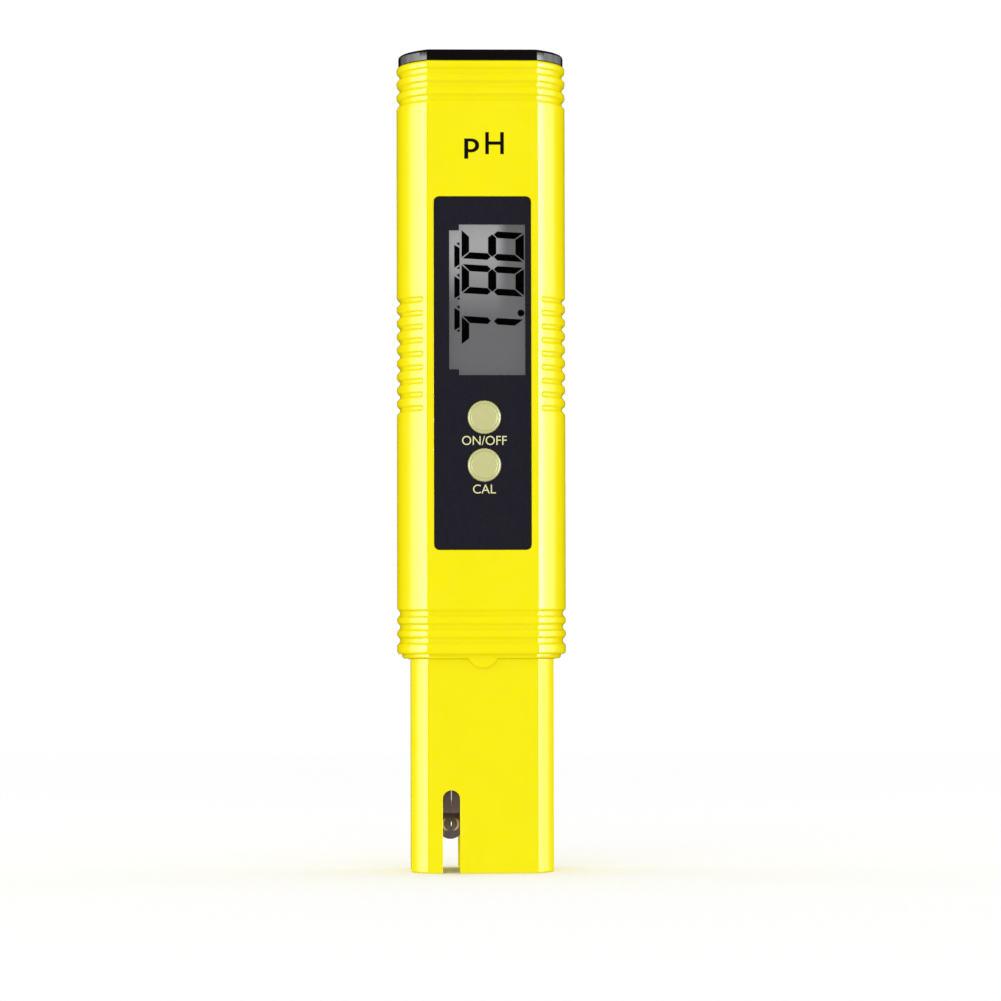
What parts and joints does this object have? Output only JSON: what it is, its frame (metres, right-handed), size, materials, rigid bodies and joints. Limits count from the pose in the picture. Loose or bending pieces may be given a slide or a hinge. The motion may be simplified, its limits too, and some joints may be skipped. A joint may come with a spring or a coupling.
{
  "type": "digital pH meter",
  "caption": "Pen-type pH meter: tubular body with display and push buttons, slotted probe guard round a glass electrode, pull-out battery drawer.",
  "frame": {"origin": "centre of the lower rim of the probe guard", "axes": "+Z along the pen from the probe guard to the battery cap, -Y is the side with the display, +X to the reader's right"},
  "size_m": [0.031, 0.023, 0.1496],
  "materials": {
    "yellow_abs": "satin",
    "black_abs": "satin",
    "panel_film": "satin",
    "window_acrylic": "gloss",
    "lcd_glass": "gloss",
    "reflector": "matte",
    "white_abs": "matte",
    "zebra_rubber": "matte",
    "board": "satin",
    "chip_epoxy": "matte",
    "ceramic_parts": "matte",
    "steel": "brushed",
    "gilt_contact": "satin",
    "button_plastic": "satin",
    "seal_rubber": "matte",
    "red_wire": "satin",
    "black_wire": "satin",
    "white_wire": "satin",
    "potting_epoxy": "gloss",
    "electrode_plastic": "gloss",
    "membrane_glass": "gloss",
    "gel": "matte",
    "porous_ceramic": "matte"
  },
  "bodies": {
    "pen": {"body_shell": "yellow_abs", "face_panel": "panel_film", "display_window": "window_acrylic", "lcd_front_glass": "lcd_glass", "lcd_rear_glass": "lcd_glass", "lcd_reflector": "reflector", "lcd_frame": "white_abs", "zebra_strip": "zebra_rubber", "main_board": "board", "controller_chip": "chip_epoxy", "amplifier_chip": "chip_epoxy", "crystal": "steel", "chip_parts": "ceramic_parts", "board_screws": "steel", "inner_chassis": "white_abs", "power_switch_base": "black_abs", "cal_switch_base": "black_abs", "power_switch_cover": "steel", "cal_switch_cover": "steel", "switch_domes": "steel", "positive_contact": "gilt_contact", "negative_contact": "gilt_contact", "battery_leads": "red_wire", "probe_guard": "yellow_abs", "guard_seal": "seal_rubber", "sensor_carrier": "black_abs", "sensor_seals": "seal_rubber", "potting_plug": "potting_epoxy", "electrode_stem": "electrode_plastic", "glass_bulb": "membrane_glass", "reference_gel": "gel", "reference_junction": "porous_ceramic", "silver_wire": "steel", "reference_wire": "steel", "electrode_plug": "black_abs", "electrode_cable": "black_wire", "temperature_probe": "steel", "thermistor_leads": "white_wire"},
    "drawer": {"battery_cap": "black_abs", "cap_seal": "seal_rubber", "battery_tray": "white_abs", "battery_cells": "steel"},
    "power_key": {"power_button": "button_plastic"},
    "cal_key": {"cal_button": "button_plastic"},
    "power_plunger": {"power_switch_plunger": "black_abs"},
    "cal_plunger": {"cal_switch_plunger": "black_abs"}
  },
  "joints": [
    {"name": "battery_drawer_slide", "type": "slide", "parent": "pen", "child": "drawer", "axis": [0, 0, 1], "range_m": [0, 0.018]},
    {"name": "power_button_press", "type": "slide", "parent": "pen", "child": "power_key", "axis": [0, 1, 0], "range_m": [0, 0.0003]},
    {"name": "cal_button_press", "type": "slide", "parent": "pen", "child": "cal_key", "axis": [0, 1, 0], "range_m": [0, 0.0003]},
    {"name": "power_plunger_slide", "type": "slide", "parent": "pen", "child": "power_plunger", "axis": [0, 1, 0], "range_m": [0, 0.0003]},
    {"name": "cal_plunger_slide", "type": "slide", "parent": "pen", "child": "cal_plunger", "axis": [0, 1, 0], "range_m": [0, 0.0003]}
  ],
  "couplings": [
    {"joint": "power_plunger_slide", "follows": "power_button_press", "ratio": 1},
    {"joint": "cal_plunger_slide", "follows": "cal_button_press", "ratio": 1}
  ]
}
